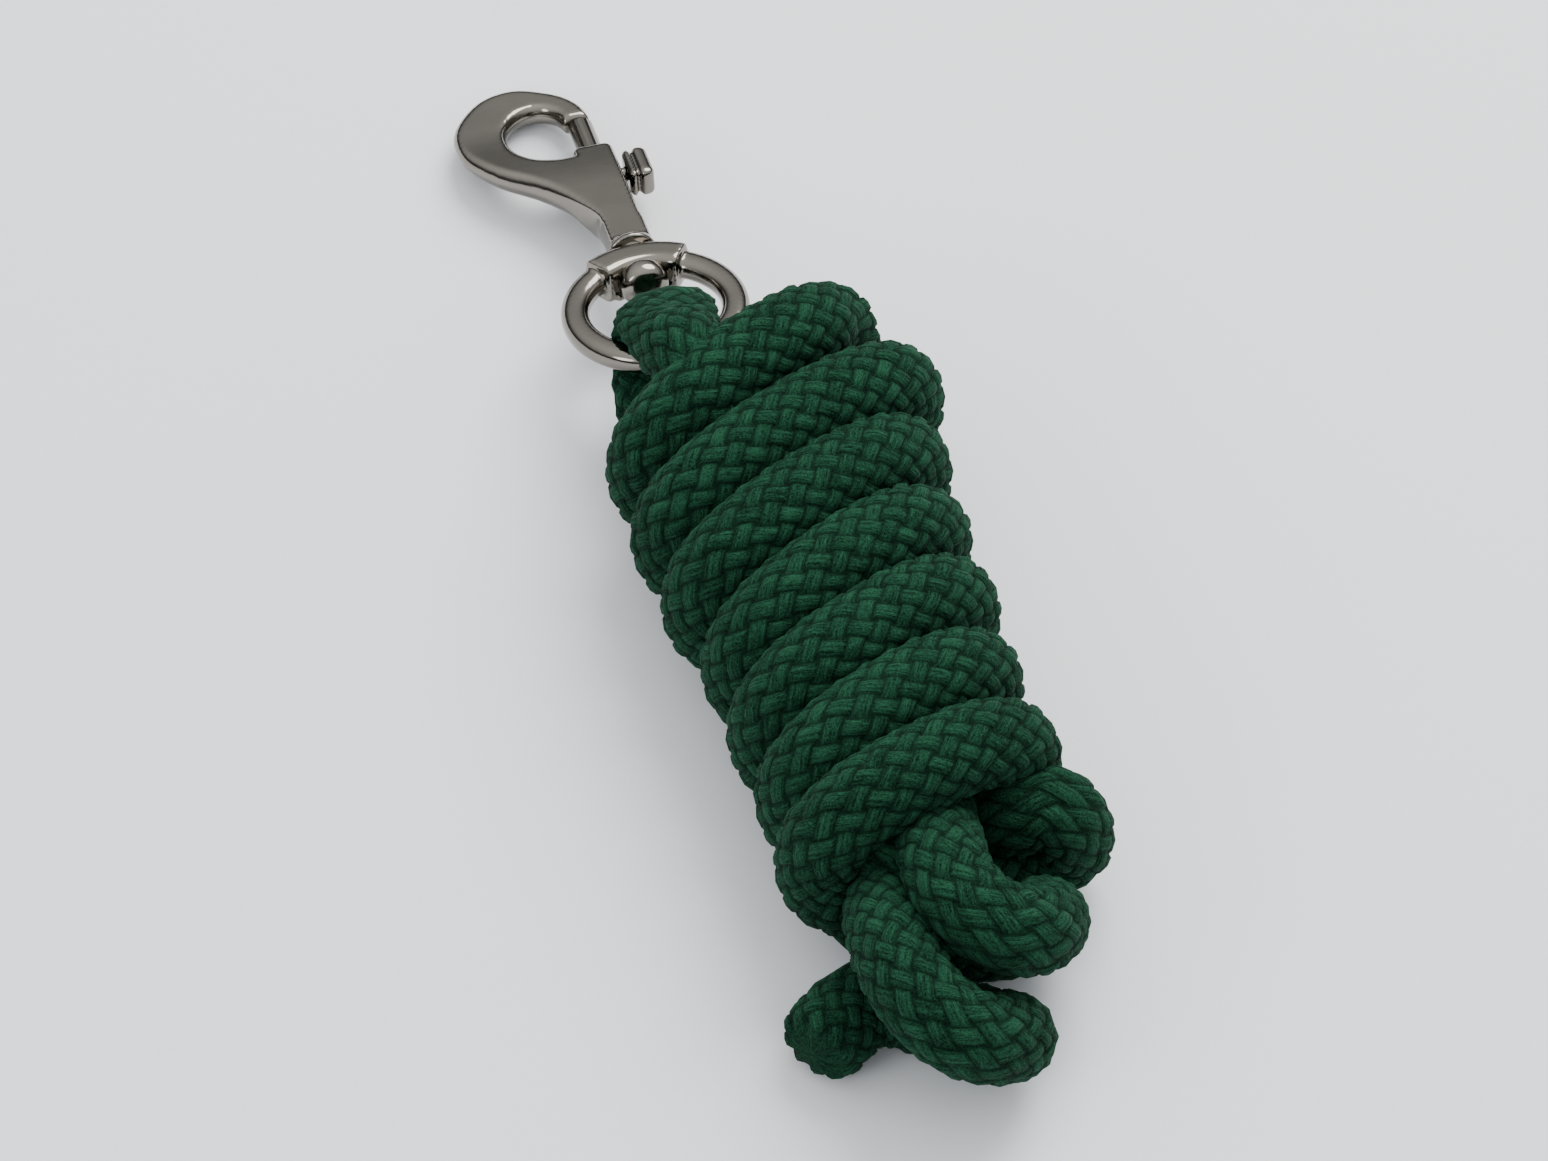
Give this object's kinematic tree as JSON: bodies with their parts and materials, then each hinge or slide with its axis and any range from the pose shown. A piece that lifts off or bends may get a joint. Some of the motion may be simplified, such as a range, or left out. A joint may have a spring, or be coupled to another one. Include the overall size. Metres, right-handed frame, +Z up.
{
  "type": "horse lead rope",
  "caption": "Braided horse lead rope wound into a hank, its spring bolt snap joined to it by a swivel eye.",
  "frame": {"origin": "middle of the footprint, on the surface that the hank and the hook's head lie on", "axes": "+Y along the hank towards the snap, +Z up, +X to the right seen from the rope's end"},
  "size_m": [0.0746, 0.2928, 0.053],
  "materials": {
    "rope": "braided polypropylene yarn, bottle green",
    "snap_metal": "polished dark nickel plating on cast zinc",
    "bolt_metal": "polished dark nickel plating",
    "spring_steel": "drawn spring wire"
  },
  "bodies": {
    "rope": {"rope_hank": "rope", "rope_closing_turns": "rope", "rope_free_end": "rope", "rope_eye": "rope"},
    "eye": {"swivel_eye": "snap_metal"},
    "snap": {"snap_body": "snap_metal", "bolt_spring": "spring_steel"},
    "bolt": {"snap_bolt": "bolt_metal", "thumb_stud": "snap_metal"}
  },
  "joints": [
    {"name": "ring_pivot", "type": "hinge", "parent": "rope", "child": "eye", "pos_m": [-0.01146, 0.0444, 0.0232], "axis": [0.999, -0.0436, 0], "range_deg": [-60, 90]},
    {"name": "eye_swivel", "type": "hinge", "parent": "eye", "child": "snap", "pos_m": [-0.01073, 0.06109, 0.0198], "axis": [0.0427, 0.979, -0.1994], "continuous": true},
    {"name": "bolt_slide", "type": "slide", "parent": "snap", "child": "bolt", "axis": [-0.0427, -0.979, 0.1994], "range_m": [0, 0.011], "stiffness_N_per_m": 300, "springref_m": -0.01, "deforming": ["bolt_spring"]}
  ]
}
